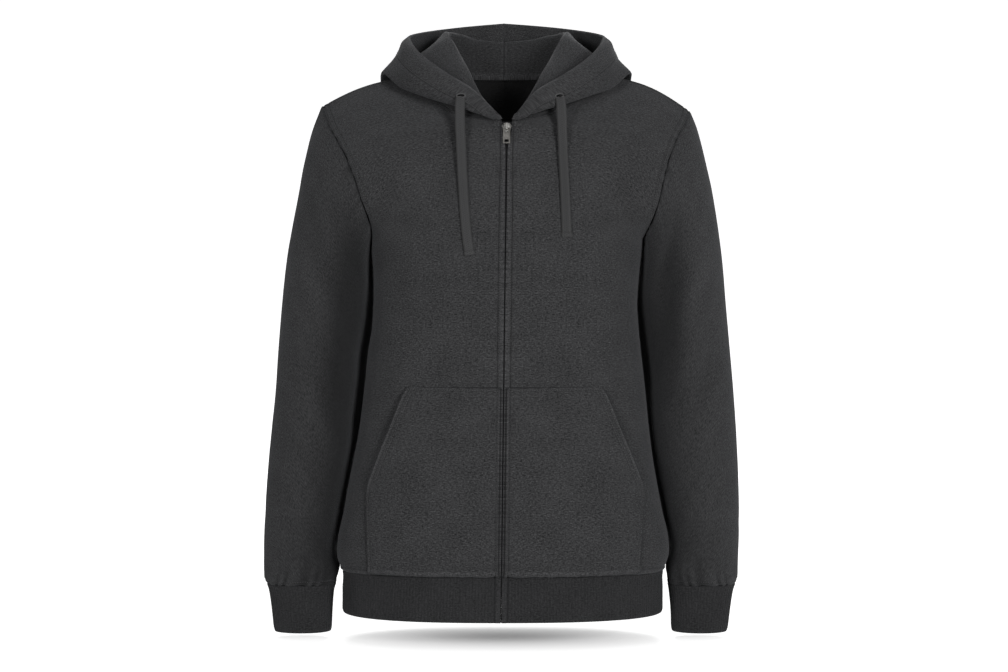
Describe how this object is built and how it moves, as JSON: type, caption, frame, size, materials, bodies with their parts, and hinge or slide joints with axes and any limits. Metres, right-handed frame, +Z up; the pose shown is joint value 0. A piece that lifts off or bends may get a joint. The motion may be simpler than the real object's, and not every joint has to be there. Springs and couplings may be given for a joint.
{
  "type": "full-zip hooded sweatshirt",
  "caption": "Hooded fleece sweatshirt filled out as worn: full zip, hood down, split kangaroo pocket, set-in sleeves, ribbed cuffs and hem, flat drawcords.",
  "frame": {"origin": "the middle of the neck base at the height of the shoulders' highest points, where a wearer's shoulders hold the garment up", "axes": "+Z up, the front with the zip faces -Y, +X to the right as seen from the front"},
  "size_m": [0.5925, 0.2991, 0.781],
  "materials": {
    "fleece": "brushed heather fleece, matt",
    "rib": "rib knit, matt",
    "tape": "woven tape, matt",
    "cord": "flat braid, matt",
    "nickel": "nickel plated, polished"
  },
  "bodies": {
    "garment": {"front_left": "fleece", "front_right": "fleece", "back": "fleece", "sleeve_left": "fleece", "sleeve_right": "fleece", "hood_left": "fleece", "hood_right": "fleece", "pocket_left": "fleece", "pocket_right": "fleece", "cuff_left": "rib", "cuff_right": "rib", "hem_band": "rib", "neck_tape": "tape", "zip_tape_left": "tape", "zip_tape_right": "tape", "zip_chain": "tape", "zip_slider": "nickel", "drawcord_left": "cord", "drawcord_right": "cord"},
    "pull_tab": {"pull_tab": "nickel"}
  },
  "joints": [
    {"name": "pull_tab_hinge", "type": "hinge", "parent": "garment", "child": "pull_tab", "pos_m": [0.00326, -0.09381, -0.0804], "axis": [-0.9999, 0, 0.0117], "range_deg": [0, 130]}
  ]
}
